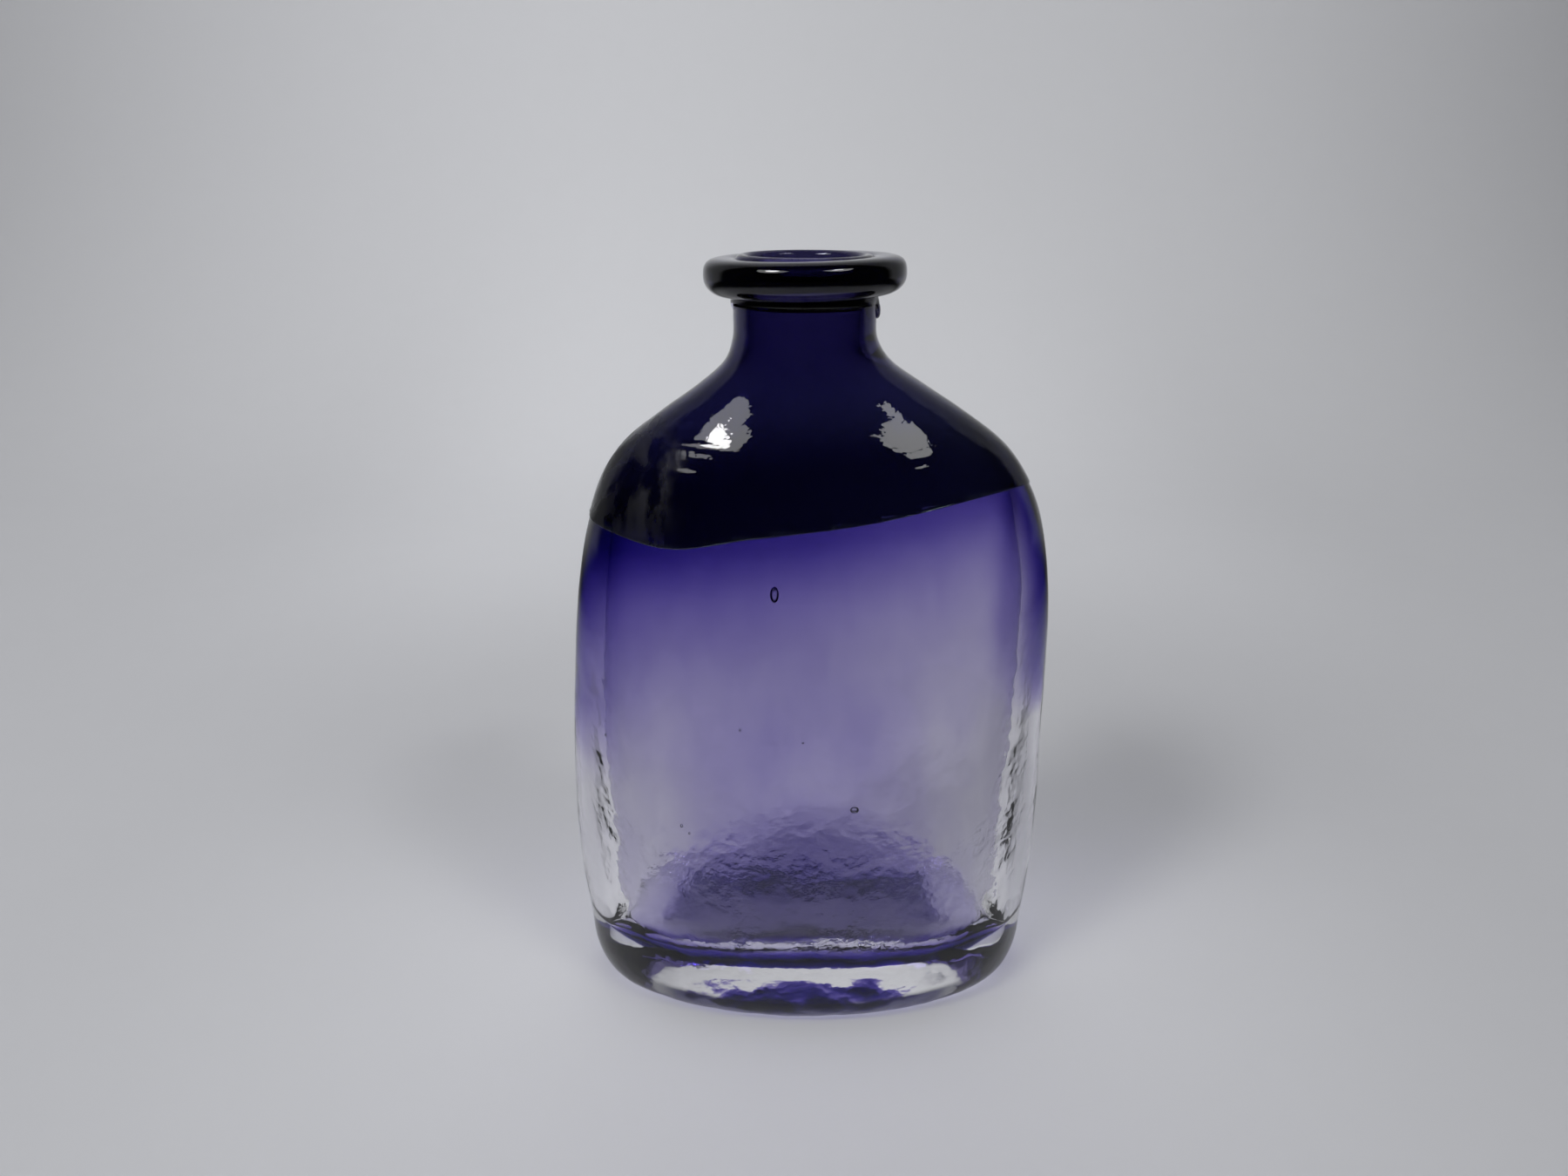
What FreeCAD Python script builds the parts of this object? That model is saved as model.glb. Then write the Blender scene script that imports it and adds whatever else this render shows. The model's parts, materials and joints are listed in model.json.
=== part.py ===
import FreeCAD, Part
import math
import os

# An oval hand-blown glass bottle, in millimetres.
# +Z is up, the front face looks along -Y, and the origin is under the middle of the body, on the table.

# Driving dimensions
HEIGHT = 160.0              # table to the rim of the neck
NECK_RADIUS = 13.5          # outside of the clear glass in the neck
NECK_LEAN = -1.0            # the neck stands this far to the left of the body's middle
NECK_START = 144.0          # height where the shoulders end in the round neck
BORE_RADIUS = 11.0          # inside of the mouth
BORE_START = 142.0          # height where the round bore begins

HEEL_INSET = 5.6            # how far the rounded heel draws in under the body
HEEL_HEIGHT = 13.0          # how far up the heel's rounding reaches
PUNT_HALF_WIDTH = 40.0      # the shallow dish under the base
PUNT_HALF_DEPTH = 18.0
PUNT_DEPTH = 0.8
PUNT_BALL = 8.0             # half height of the flattened ball that the dish is cut with

FLOOR_HEIGHT = 12.0         # inside floor above the table
FLOOR_CORNER = 14.0         # rounding between the inside floor and the walls
BODY_WALL = 3.6             # whole thickness of the glass at the front and back of the body
NECK_WALL = NECK_RADIUS - BORE_RADIUS
WALL_THINS_FROM = 100.0     # the front and back walls thin from here to the neck
SIDE_WALL_AT_BASE = 7.5     # the two narrow sides are thicker, most of all low down
SIDE_WALL_AT_SHOULDER = 4.8
SHOULDER_HEIGHT = 115.0     # the narrow sides thin fast from here to the neck

LINING_AT_FLOOR = 0.5       # the violet bubble is blown thin at the bottom
LINING_AT_NECK = 1.2        # and stays thick at the neck

OVERLAY_THICKNESS = 0.5
OVERLAY_LOFT_START = 90.0   # the overlay's outside is shaped from here up, then trimmed by its edge
BAND_HEIGHT = 2.2
BAND_PROUD = 0.4            # how far the band stands out of the overlay

RING_OUTER_RADIUS = 19.7
RING_BOTTOM = 152.5
RING_TOP = 159.6
RING_SHOULDER = 1.2         # flat part of the ring's top and bottom before it rounds over

# Cross-sections of the clear glass above the heel, all ellipses:
# height, half width, half depth, shift to the right
BODY_SECTIONS = [
    (HEEL_HEIGHT, 50.6, 27.7, 0.1),
    (28.0, 51.2, 28.0, 0.0),
    (42.0, 51.6, 28.0, 0.0),
    (60.0, 51.2, 28.0, 0.1),
    (76.0, 50.6, 27.8, 0.6),
    (90.0, 49.7, 27.2, 1.1),
    (102.0, 48.0, 25.6, 1.3),
    (111.0, 45.6, 23.1, 1.4),
    (118.0, 42.2, 20.3, 1.2),
    (124.0, 37.3, 18.1, 0.9),
    (130.0, 29.4, 15.5, 0.7),
    (135.0, 22.0, 14.1, 0.4),
    (139.5, 16.2, 13.7, -0.3),
    (NECK_START, NECK_RADIUS, NECK_RADIUS, NECK_LEAN),
]
HEEL_STEPS = [0.0, 0.08, 0.23, 0.46, 0.75]

# Lower edge of the dark overlay, seen from the front: sideways place, height
OVERLAY_EDGE = [
    (-60.0, 110.0),
    (-41.0, 108.0),
    (-27.0, 106.6),
    (-12.0, 109.4),
    (10.0, 112.4),
    (37.0, 116.8),
    (60.0, 117.5),
]

NECK_AXIS = FreeCAD.Vector(NECK_LEAN, 0, 0)
UP = FreeCAD.Vector(0, 0, 1)


def rounding(fraction, inset):
    """Inset of a quarter-ellipse corner at a fraction of its height, from the full inset to none."""
    return inset * (1 - math.sqrt(1 - (1 - fraction) ** 2))


def ellipse_wire(height, half_width, half_depth, shift):
    """One level cross-section."""
    centre = FreeCAD.Vector(shift, 0, height)
    width_end = centre + FreeCAD.Vector(half_width, 0, 0)
    depth_end = centre + FreeCAD.Vector(0, half_depth, 0)
    if half_width > half_depth:
        curve = Part.Ellipse(width_end, depth_end, centre)
    else:
        curve = Part.Circle(centre, UP, half_width)
    return Part.Wire(curve.toShape())


def skin(sections):
    """A closed solid through level cross-sections."""
    return Part.makeLoft([ellipse_wire(*section) for section in sections], True)


def neck_cylinder(radius, bottom, top):
    base = NECK_AXIS + UP * bottom
    return Part.makeCylinder(radius, top - bottom, base, UP)


def grown(section, amount):
    height, half_width, half_depth, shift = section
    return (height, half_width + amount, half_depth + amount, shift)


def between(height, low, low_value, high, high_value):
    """An even change from one value to another over a range of heights."""
    rise = min(1.0, max(0.0, (height - low) / (high - low)))
    return low_value + (high_value - low_value) * rise


def wall_at(height):
    """Whole wall thickness at the front and back, thinning evenly up the shoulders."""
    return between(height, WALL_THINS_FROM, BODY_WALL, NECK_START, NECK_WALL)


def side_wall_at(height):
    """Whole wall thickness at the two narrow sides."""
    if height < SHOULDER_HEIGHT:
        return between(height, 0.0, SIDE_WALL_AT_BASE, SHOULDER_HEIGHT, SIDE_WALL_AT_SHOULDER)
    return between(height, SHOULDER_HEIGHT, SIDE_WALL_AT_SHOULDER, NECK_START, NECK_WALL)


def lining_at(height):
    """Thickness of the violet bubble, from the floor to the neck."""
    return between(height, FLOOR_HEIGHT, LINING_AT_FLOOR, NECK_START, LINING_AT_NECK)


def hollowed(section, height, inset):
    """The cross-section inside the wall at a height, drawn in by a further inset."""
    half_width = section[1] - side_wall_at(height) - inset
    half_depth = section[2] - wall_at(height) - inset
    return (height, half_width, half_depth, section[3])


def outer_form():
    """The outside of the clear glass: heel, body, shoulders and neck."""
    heel_top = BODY_SECTIONS[0]
    sections = []
    for fraction in HEEL_STEPS:
        section = grown(heel_top, -rounding(fraction, HEEL_INSET))
        sections.append((fraction * HEEL_HEIGHT,) + section[1:])
    sections += BODY_SECTIONS
    return skin(sections).fuse(neck_cylinder(NECK_RADIUS, NECK_START, HEIGHT)).removeSplitter()


def inner_form(lining):
    """The bottle's inside, or with lining=True the outside of the violet bubble around it."""
    floor = FLOOR_HEIGHT - (LINING_AT_FLOOR if lining else 0.0)
    corner_top = FLOOR_HEIGHT + FLOOR_CORNER
    sections = []
    for fraction in HEEL_STEPS + [1.0]:
        height = floor + fraction * (corner_top - floor)
        extra = lining_at(height) if lining else 0.0
        sections.append(hollowed(BODY_SECTIONS[0], height, rounding(fraction, FLOOR_CORNER) - extra))
    above_corner = [section for section in BODY_SECTIONS[:-1] if section[0] > corner_top + 4.0]
    for section in above_corner:
        extra = lining_at(section[0]) if lining else 0.0
        sections.append(hollowed(section, section[0], -extra))
    radius = BORE_RADIUS + (LINING_AT_NECK if lining else 0.0)
    sections.append((BORE_START, radius, radius, NECK_LEAN))
    return skin(sections).fuse(neck_cylinder(radius, BORE_START, HEIGHT)).removeSplitter()


def punt():
    """The shallow oval dish under the base: the top of a flattened ball that is mostly below the table."""
    sunk = PUNT_BALL - PUNT_DEPTH
    rim = math.sqrt(1 - (sunk / PUNT_BALL) ** 2)
    stretch = FreeCAD.Matrix()
    stretch.scale(PUNT_HALF_WIDTH / rim, PUNT_HALF_DEPTH / rim, PUNT_BALL)
    ball = Part.makeSphere(1.0).transformGeometry(stretch)
    ball.translate(UP * -sunk)
    return ball


def overlay_room():
    """The space above the overlay's slanting edge, up to the underside of the lip ring."""
    reach = 80.0
    edge = Part.BSplineCurve()
    edge.interpolate([FreeCAD.Vector(x, -reach, z) for x, z in OVERLAY_EDGE])
    left, right = OVERLAY_EDGE[0], OVERLAY_EDGE[-1]
    corners = [
        FreeCAD.Vector(right[0], -reach, right[1]),
        FreeCAD.Vector(right[0], -reach, RING_BOTTOM),
        FreeCAD.Vector(left[0], -reach, RING_BOTTOM),
        FreeCAD.Vector(left[0], -reach, left[1]),
    ]
    sides = [Part.LineSegment(a, b).toShape() for a, b in zip(corners, corners[1:])]
    front = Part.Face(Part.Wire([edge.toShape()] + sides))
    return front.extrude(FreeCAD.Vector(0, 2 * reach, 0))


def shoulder_overlay(clear_outside):
    sections = [grown(s, OVERLAY_THICKNESS) for s in BODY_SECTIONS if s[0] >= OVERLAY_LOFT_START]
    outside = skin(sections)
    neck = neck_cylinder(NECK_RADIUS + OVERLAY_THICKNESS, NECK_START, RING_BOTTOM)
    outside = outside.fuse(neck).removeSplitter()
    return outside.common(overlay_room()).cut(clear_outside)


def neck_band():
    inside = NECK_RADIUS + OVERLAY_THICKNESS
    bottom = RING_BOTTOM - BAND_HEIGHT
    band = neck_cylinder(inside + BAND_PROUD, bottom, RING_BOTTOM)
    band = band.cut(neck_cylinder(inside, bottom, RING_BOTTOM))
    lower_rim = [edge for edge in band.Edges if is_level(edge, bottom, inside + BAND_PROUD)]
    return band.makeFillet(BAND_PROUD * 0.7, lower_rim)


def is_level(edge, height, radius):
    """True for the level round edge of this height and radius."""
    box = edge.BoundBox
    level = box.ZLength < 0.01 and abs(box.ZMin - height) < 0.01
    return level and abs(box.XLength / 2 - radius) < 0.01


def lip_ring():
    """A half-oval profile turned round the neck."""
    middle = (RING_BOTTOM + RING_TOP) / 2
    inner = NECK_LEAN + NECK_RADIUS
    flat_end = inner + RING_SHOULDER
    top_in = FreeCAD.Vector(inner, 0, RING_TOP)
    top_out = FreeCAD.Vector(flat_end, 0, RING_TOP)
    bottom_out = FreeCAD.Vector(flat_end, 0, RING_BOTTOM)
    bottom_in = FreeCAD.Vector(inner, 0, RING_BOTTOM)
    reach = RING_OUTER_RADIUS - NECK_RADIUS - RING_SHOULDER
    centre = FreeCAD.Vector(flat_end, 0, middle)
    outermost = centre + FreeCAD.Vector(reach, 0, 0)
    oval = Part.Ellipse(outermost, top_out, centre)
    if reach < RING_TOP - middle:
        oval = Part.Ellipse(top_out, outermost, centre)
    start, end = sorted([oval.parameter(bottom_out), oval.parameter(top_out)])
    round_side = oval.toShape(start, end)
    if round_side.CenterOfMass.x < flat_end:
        round_side = oval.toShape(end, start + 2 * math.pi)
    sides = [
        Part.LineSegment(top_out, top_in).toShape(),
        Part.LineSegment(top_in, bottom_in).toShape(),
        Part.LineSegment(bottom_in, bottom_out).toShape(),
    ]
    profile = Part.Face(Part.Wire(Part.__sortEdges__([round_side] + sides)))
    return profile.revolve(NECK_AXIS, UP, 360)


def build():
    outside = outer_form()
    bubble = inner_form(lining=True)
    inside = inner_form(lining=False)
    casing = outside.cut(bubble).cut(punt())
    return {
        "clear_casing": casing,
        "violet_lining": bubble.cut(inside),
        "shoulder_overlay": shoulder_overlay(outside),
        "neck_band": neck_band(),
        "lip_ring": lip_ring(),
    }


os.makedirs("parts", exist_ok=True)
for node, shape in build().items():
    solids = shape.Solids
    print(node, "solids", len(solids), "valid", shape.isValid(), "volume", round(shape.Volume, 1))
    solids[0].exportStep("parts/" + node + ".step")
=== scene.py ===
# %% [markdown]
# # A hand-blown oval bottle in violet glass
# The bottle is a thick-walled bubble of clear glass with a violet bubble inside it. The violet is thick at
# the neck and thins out towards a heavy colourless base. Blue-black glass covers the neck and shoulders and
# ends in a slanting edge, and a fat ring of dark glass goes round the mouth. Nothing moves, so every piece
# rides on the one body, "root".

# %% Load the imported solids
import bpy
import bmesh
import json
import math
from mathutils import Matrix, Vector

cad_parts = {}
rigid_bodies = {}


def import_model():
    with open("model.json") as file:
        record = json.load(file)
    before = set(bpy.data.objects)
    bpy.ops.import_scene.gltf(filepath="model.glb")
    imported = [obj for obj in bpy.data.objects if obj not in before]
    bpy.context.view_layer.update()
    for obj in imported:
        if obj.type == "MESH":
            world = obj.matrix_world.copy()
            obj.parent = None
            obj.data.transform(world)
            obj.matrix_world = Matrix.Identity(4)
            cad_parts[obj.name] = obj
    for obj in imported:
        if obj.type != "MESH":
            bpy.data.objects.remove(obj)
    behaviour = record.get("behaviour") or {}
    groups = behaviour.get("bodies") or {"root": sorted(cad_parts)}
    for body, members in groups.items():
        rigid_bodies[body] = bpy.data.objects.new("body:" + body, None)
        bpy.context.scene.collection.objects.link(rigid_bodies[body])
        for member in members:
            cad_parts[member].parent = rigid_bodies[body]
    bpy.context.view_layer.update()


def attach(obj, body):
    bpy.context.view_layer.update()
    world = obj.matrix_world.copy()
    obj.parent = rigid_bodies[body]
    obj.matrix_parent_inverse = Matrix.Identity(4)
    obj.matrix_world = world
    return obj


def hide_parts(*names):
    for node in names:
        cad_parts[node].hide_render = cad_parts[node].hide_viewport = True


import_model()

# %% [markdown]
# ## Driving dimensions
# Blown glass is drawn level by level: each level is an ellipse with a half width, a half depth and a small
# shift to the right, and a smooth curve runs between the levels. These are the sizes that the solids were
# made from, in metres, but for a softer heel, neck and band.

# %% Name the bottle's sizes
HEIGHT = 0.160
NECK_RADIUS = 0.0135
NECK_LEAN = -0.0010
NECK_START = 0.144
CURVE_END = 0.149
BORE_RADIUS = 0.0110
BORE_START = 0.142
HEEL_INSET = 0.0056
HEEL_HEIGHT = 0.013
DISH_HALF_WIDTH = 0.040
DISH_HALF_DEPTH = 0.018
DISH_DEPTH = 0.0008
FLOOR_HEIGHT = 0.012
FLOOR_CORNER = 0.014
BODY_WALL = 0.0036
NECK_WALL = NECK_RADIUS - BORE_RADIUS
WALL_THINS_FROM = 0.100
OVERLAY_THICKNESS = 0.0005
RING_OUTER_RADIUS = 0.0197
RING_BOTTOM = 0.1525
RING_TOP = 0.1596
BAND_HEIGHT = 0.0022
BAND_PROUD = 0.0002

# height, half width, half depth, shift to the right
BODY_SECTIONS = [
    (HEEL_HEIGHT, 0.0496, 0.0277, 0.0001),
    (0.0280, 0.0512, 0.0280, 0.0000),
    (0.0420, 0.0516, 0.0280, 0.0000),
    (0.0600, 0.0512, 0.0280, 0.0001),
    (0.0760, 0.0506, 0.0278, 0.0006),
    (0.0900, 0.0497, 0.0272, 0.0011),
    (0.1020, 0.0480, 0.0256, 0.0013),
    (0.1110, 0.0456, 0.0231, 0.0014),
    (0.1180, 0.0422, 0.0203, 0.0012),
    (0.1240, 0.0373, 0.0181, 0.0009),
    (0.1300, 0.0294, 0.0155, 0.0007),
    (0.1350, 0.0220, 0.0141, 0.0004),
    (0.1395, 0.0162, 0.0137, -0.0003),
    (NECK_START, 0.0138, 0.0136, -0.0009),
    (CURVE_END, NECK_RADIUS, NECK_RADIUS, NECK_LEAN),
]

# height and thickness of the glass at the two narrow sides
SIDE_WALLS = [
    (0.000, 0.0075),
    (0.030, 0.0070),
    (0.060, 0.0062),
    (0.090, 0.0055),
    (0.115, 0.0048),
    (0.130, 0.0036),
    (NECK_START, NECK_WALL),
]

# sideways place and height of the dark overlay's lower edge, seen from the front
OVERLAY_EDGE = [
    (-0.060, 0.1100),
    (-0.041, 0.1080),
    (-0.027, 0.1066),
    (-0.012, 0.1094),
    (0.010, 0.1124),
    (0.037, 0.1168),
    (0.060, 0.1175),
]


def slope_at(rows, row, column):
    """How fast a column changes at a row, judged from the rows on either side."""
    before = max(row - 1, 0)
    after = min(row + 1, len(rows) - 1)
    return (rows[after][column] - rows[before][column]) / (rows[after][0] - rows[before][0])


def smooth_between(rows, place):
    """The row's values at any place, along a smooth curve through all the rows."""
    place = min(max(place, rows[0][0]), rows[-1][0])
    row = max(k for k in range(len(rows) - 1) if rows[k][0] <= place)
    step = rows[row + 1][0] - rows[row][0]
    t = (place - rows[row][0]) / step
    values = []
    for column in range(1, len(rows[0])):
        here, there = rows[row][column], rows[row + 1][column]
        leave = slope_at(rows, row, column) * step
        arrive = slope_at(rows, row + 1, column) * step
        bend = 2 * (here - there) + leave + arrive
        values.append(here + t * (leave + t * (3 * (there - here) - 2 * leave - arrive + t * bend)))
    return values


def outside_at(height, inset=0.0):
    """One level of the clear glass's outside, drawn in by an inset: height, half width, half depth, shift."""
    half_width, half_depth, shift = smooth_between(BODY_SECTIONS, height)
    return (height, half_width - inset, half_depth - inset, shift)


def within(place, level):
    """Whether a place is inside a level's oval."""
    height, half_width, half_depth, shift = level
    return ((place.x - shift) / half_width) ** 2 + (place.y / half_depth) ** 2 < 1


def wall_at(height):
    """The wall's thickness: even in the body, thinner towards the neck."""
    climb = (height - WALL_THINS_FROM) / (NECK_START - WALL_THINS_FROM)
    return BODY_WALL + (NECK_WALL - BODY_WALL) * min(1.0, max(0.0, climb))


def inside_at(height, inset=0.0):
    """One level of the hollow, drawn in by an inset. The glass is thick at the two narrow sides."""
    level, half_width, half_depth, shift = outside_at(height)
    side_wall = smooth_between(SIDE_WALLS, height)[0]
    return (height, half_width - side_wall - inset, half_depth - wall_at(height) - inset, shift)


print("half width at mid height:", round(outside_at(HEIGHT / 2)[1], 4))

# %% [markdown]
# ## The levels of the clear glass
# A glassblower gathers, blows and swings the bubble; the modeller can do much the same with one ring of
# edges that is moved from level to level. First the levels are listed: out across the shallow dish under
# the base, round the heel, up the wall and shoulders, over the rim of the neck, and back down the inside
# to the floor.

# %% List the levels of the body, from under the base to the inside floor
RING_CORNERS = 128
LEVEL_GAP = 0.0025
HEEL_STEPS = 10
RIM_STEPS = 8
CORNER_STEPS = 9
DISH_SHARES = [0.05, 0.25, 0.45, 0.65, 0.85, 1.0]
FLOOR_SHARES = [0.85, 0.65, 0.45, 0.25, 0.08]


def quarter_turn(steps):
    """Angles from 0 to a right angle."""
    return [math.radians(90) * k / steps for k in range(steps + 1)]


def spaced(first, last, gap):
    """Evenly spaced heights after the first, up or down to the last, about a gap apart."""
    count = max(1, round(abs(last - first) / gap))
    return [first + (last - first) * k / count for k in range(1, count + 1)]


def underside_levels():
    """The shallow dish, from near its middle out to its rim on the table."""
    return [
        (DISH_DEPTH * (1 - share * share), DISH_HALF_WIDTH * share, DISH_HALF_DEPTH * share, 0.0)
        for share in DISH_SHARES
    ]


def heel_levels():
    """The rounding from the table up to the wall."""
    levels = []
    for angle in quarter_turn(HEEL_STEPS):
        inset = HEEL_INSET * (1 - math.sin(angle))
        height = HEEL_HEIGHT * (1 - math.cos(angle))
        levels.append((height,) + outside_at(HEEL_HEIGHT, inset)[1:])
    return levels


def outer_levels():
    """The wall, the shoulders and the neck."""
    body_part = [outside_at(height) for height in spaced(HEEL_HEIGHT, CURVE_END, LEVEL_GAP)]
    neck_heights = spaced(CURVE_END, HEIGHT - NECK_WALL / 2, LEVEL_GAP)
    return body_part + [(height, NECK_RADIUS, NECK_RADIUS, NECK_LEAN) for height in neck_heights]


def rim_levels():
    """The rounded rim, from the outside of the neck over to the bore."""
    levels = []
    half_wall = NECK_WALL / 2
    for k in range(1, RIM_STEPS + 1):
        angle = math.pi * k / RIM_STEPS
        radius = NECK_RADIUS - half_wall + half_wall * math.cos(angle)
        height = HEIGHT - half_wall + half_wall * math.sin(angle)
        levels.append((height, radius, radius, NECK_LEAN))
    return levels


def inside_levels():
    """The bore, the inside of the wall, and the rounded corner that ends in the floor."""
    levels = []
    for height in spaced(HEIGHT - NECK_WALL / 2, BORE_START, LEVEL_GAP):
        levels.append((height, BORE_RADIUS, BORE_RADIUS, NECK_LEAN))
    corner_top = FLOOR_HEIGHT + FLOOR_CORNER
    for height in spaced(BORE_START, corner_top, LEVEL_GAP):
        levels.append(inside_at(height))
    for angle in quarter_turn(CORNER_STEPS)[1:]:
        inset = FLOOR_CORNER * (1 - math.cos(angle))
        height = corner_top - FLOOR_CORNER * math.sin(angle)
        levels.append((height,) + inside_at(corner_top, inset)[1:])
    last = levels[-1]
    for share in FLOOR_SHARES:
        levels.append((FLOOR_HEIGHT, last[1] * share, last[2] * share, 0.0))
    return levels


body_levels = underside_levels() + heel_levels() + outer_levels() + rim_levels() + inside_levels()
print("levels in the body:", len(body_levels))

# %% [markdown]
# ## The blown body
# The ring starts as a small oval under the base and is extruded and scaled through all the levels, then
# closed at both ends. That gives one closed wall of glass with its true thickness, which is what bends the
# light.

# %% Extrude the ring from level to level


def clear_selection():
    """Nothing selected and object mode on, so that an operator meets only what comes next."""
    if bpy.context.object and bpy.context.object.mode != "OBJECT":
        bpy.ops.object.mode_set(mode="OBJECT")
    bpy.ops.object.select_all(action="DESELECT")


def stack_of_levels(name, levels):
    """Extrude one ring of edges through a list of levels and close both ends."""
    clear_selection()
    height, half_width, half_depth, shift = levels[0]
    bpy.ops.mesh.primitive_circle_add(
        vertices=RING_CORNERS, radius=1.0, fill_type="TRIFAN", location=(0, 0, 0)
    )
    piece = bpy.context.object
    piece.name = name
    bpy.ops.object.mode_set(mode="EDIT")
    bpy.ops.transform.resize(value=(half_width, half_depth, 1))
    bpy.ops.transform.translate(value=(shift, 0, height))
    bpy.ops.mesh.select_all(action="DESELECT")
    bpy.ops.mesh.select_non_manifold()
    for before, after in zip(levels, levels[1:]):
        move = (after[3] - before[3], 0, after[0] - before[0])
        bpy.ops.mesh.extrude_region_move(TRANSFORM_OT_translate={"value": move})
        grow = (after[1] / before[1], after[2] / before[2], 1)
        bpy.ops.transform.resize(value=grow, center_override=(after[3], 0, after[0]))
    bpy.ops.mesh.edge_face_add()
    bpy.ops.mesh.poke()
    bpy.ops.mesh.select_all(action="SELECT")
    bpy.ops.mesh.remove_doubles(threshold=1e-7)
    bpy.ops.mesh.normals_make_consistent(inside=False)
    bpy.ops.object.mode_set(mode="OBJECT")
    bpy.ops.object.shade_smooth()
    return piece


body = stack_of_levels("clear_casing_glass", body_levels)
print("body faces:", len(body.data.polygons))

# %% [markdown]
# ## The floor of the hollow
# Hot glass sinks before it sets, so the hollow ends in a floor that no one shaped on purpose. It is squarer
# than the outside, and its back corner is high in the middle and low at the ends. That corner gives its
# outline to the dark mountain of shadow that shows through the front, and painted shadow in the lining
# darkens the mountain further. Proportional editing could pull it about by hand; here each point of the lower
# hollow is moved by a rule, so that the lining can follow the same rule later.

# %% Settle the hollow's floor and square it up
SQUARE_TOP = 0.030
SQUARE_FULL = 0.014
SQUARE_POWER = 3.4
HOLLOW_WIDTH = 0.044
HOLLOW_DEPTH = 0.0244
BACK_SLUMP = 1.20
BACK_PEAK = 0.45
BACK_GROOVE = 0.0004
BACK_TURN = (-0.05, 0.35)
END_TURN = (0.80, 0.97)
PEAK_ROUNDING = 0.002
NEARLY_NONE = 1e-6
CORNER_TOP = FLOOR_HEIGHT + FLOOR_CORNER
CORNER_LEVEL = inside_at(CORNER_TOP)


def rise(value, low, high):
    """0 below low, 1 above high, and a soft step between."""
    t = min(1.0, max(0.0, (value - low) / (high - low)))
    return t * t * (3 - 2 * t)


def settle(point, shift):
    """Raise the hollow's back corner in the middle, lower it at the ends, and groove the floor's back."""
    level = min(max(point.z, FLOOR_HEIGHT), CORNER_TOP)
    if point.z > CORNER_TOP + FLOOR_CORNER:
        return point
    angle = math.asin(min(1.0, (CORNER_TOP - level) / FLOOR_CORNER))
    inset = FLOOR_CORNER * (1 - math.cos(angle))
    across = (point.x - shift) / (CORNER_LEVEL[1] - inset)
    deep = point.y / (CORNER_LEVEL[2] - inset)
    out = math.hypot(across, deep)
    back = rise(deep / max(out, NEARLY_NONE), *BACK_TURN)
    ends = rise(abs(across) / max(out, NEARLY_NONE), *END_TURN)
    slump = BACK_SLUMP * math.hypot(point.x - shift, PEAK_ROUNDING) / CORNER_LEVEL[1] - BACK_PEAK
    fade = 1 - max(0.0, point.z - CORNER_TOP) / FLOOR_CORNER
    drop = (level - FLOOR_HEIGHT) * slump * fade * max(back, ends)
    if level < FLOOR_HEIGHT + NEARLY_NONE:
        drop = BACK_GROOVE * out ** 6 * back
    return Vector((point.x, point.y, point.z - drop))


def squareness(height):
    """The power of the hollow's plan: 2 is an ellipse, more is squarer."""
    share = min(1.0, max(0.0, (SQUARE_TOP - height) / (SQUARE_TOP - SQUARE_FULL)))
    return 2 + (SQUARE_POWER - 2) * share * share


def squarer(point, shift, power):
    """Move a point of an elliptical level out to the squarer plan with the same width and depth."""
    angle = math.atan2(point.y / HOLLOW_DEPTH, (point.x - shift) / HOLLOW_WIDTH)
    lift = (abs(math.cos(angle)) ** power + abs(math.sin(angle)) ** power) ** (-1 / power)
    return Vector((shift + (point.x - shift) * lift, point.y * lift, point.z))


BELOW_FLOOR = 0.001
WELL_INSIDE = 0.002
moved = 0
for vertex in body.data.vertices:
    if FLOOR_HEIGHT - BELOW_FLOOR < vertex.co.z < CORNER_TOP + FLOOR_CORNER:
        level = outside_at(vertex.co.z, WELL_INSIDE)
        if within(vertex.co, level):
            power = squareness(vertex.co.z)
            vertex.co = squarer(settle(vertex.co, level[3]), level[3], power)
            moved += 1
print("points moved inside the base:", moved)

# %% [markdown]
# ## Hand-made ripples
# Glass that is shaped by hand is never even. Two displacements push the skin in by a hair: slow waves all
# over the body, and a tighter hammered ripple in the lower third that is weaker at the narrow sides. Groups
# of weighted points say how much of each a place gets; the neck and rim stay true for the rings.

# %% Make tools for ripples


def apply_modifier(piece, name):
    """Make a modifier's result the piece's own mesh."""
    clear_selection()
    piece.select_set(True)
    bpy.context.view_layer.objects.active = piece
    bpy.ops.object.modifier_apply(modifier=name)


def subdivide_smoothly(piece, levels):
    """Give the piece a finer, smoother mesh."""
    skin = piece.modifiers.new("smooth_skin", "SUBSURF")
    skin.levels = levels
    skin.render_levels = levels
    apply_modifier(piece, skin.name)


def weigh(piece, name, weight_of):
    """Give the piece a group of points whose weight depends on their place."""
    group = piece.vertex_groups.new(name=name)
    members = {}
    for vertex in piece.data.vertices:
        members.setdefault(round(weight_of(vertex.co), 2), []).append(vertex.index)
    for weight, indices in members.items():
        group.add(indices, weight, "REPLACE")


def ripple(piece, name, size, depth, weight_of):
    """Push the skin inwards by up to a depth, in soft clouds of a size."""
    weigh(piece, name, weight_of)
    lumps = bpy.data.textures.new(name, "CLOUDS")
    lumps.noise_scale = size
    lumps.noise_depth = 1
    push = piece.modifiers.new(name, "DISPLACE")
    push.texture = lumps
    push.texture_coords = "LOCAL"
    push.mid_level = 1.0
    push.strength = depth
    push.vertex_group = name
    apply_modifier(piece, name)


print("body points before smoothing:", len(body.data.vertices))

# %% Smooth the body and ripple it
HALF_WALL = BODY_WALL / 2
LOWEST_INSIDE = 0.008
SLOW_SIZE = 0.011
SLOW_DEPTH = 0.00030
HAMMERED_SIZE = 0.0060
HAMMERED_DEPTH = 0.00050
HAMMERED_INSIDE = 0.25
LEFT_CALM = 0.70
CALM = 0.35
LEFT_CALM_TOP = 0.070
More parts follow.
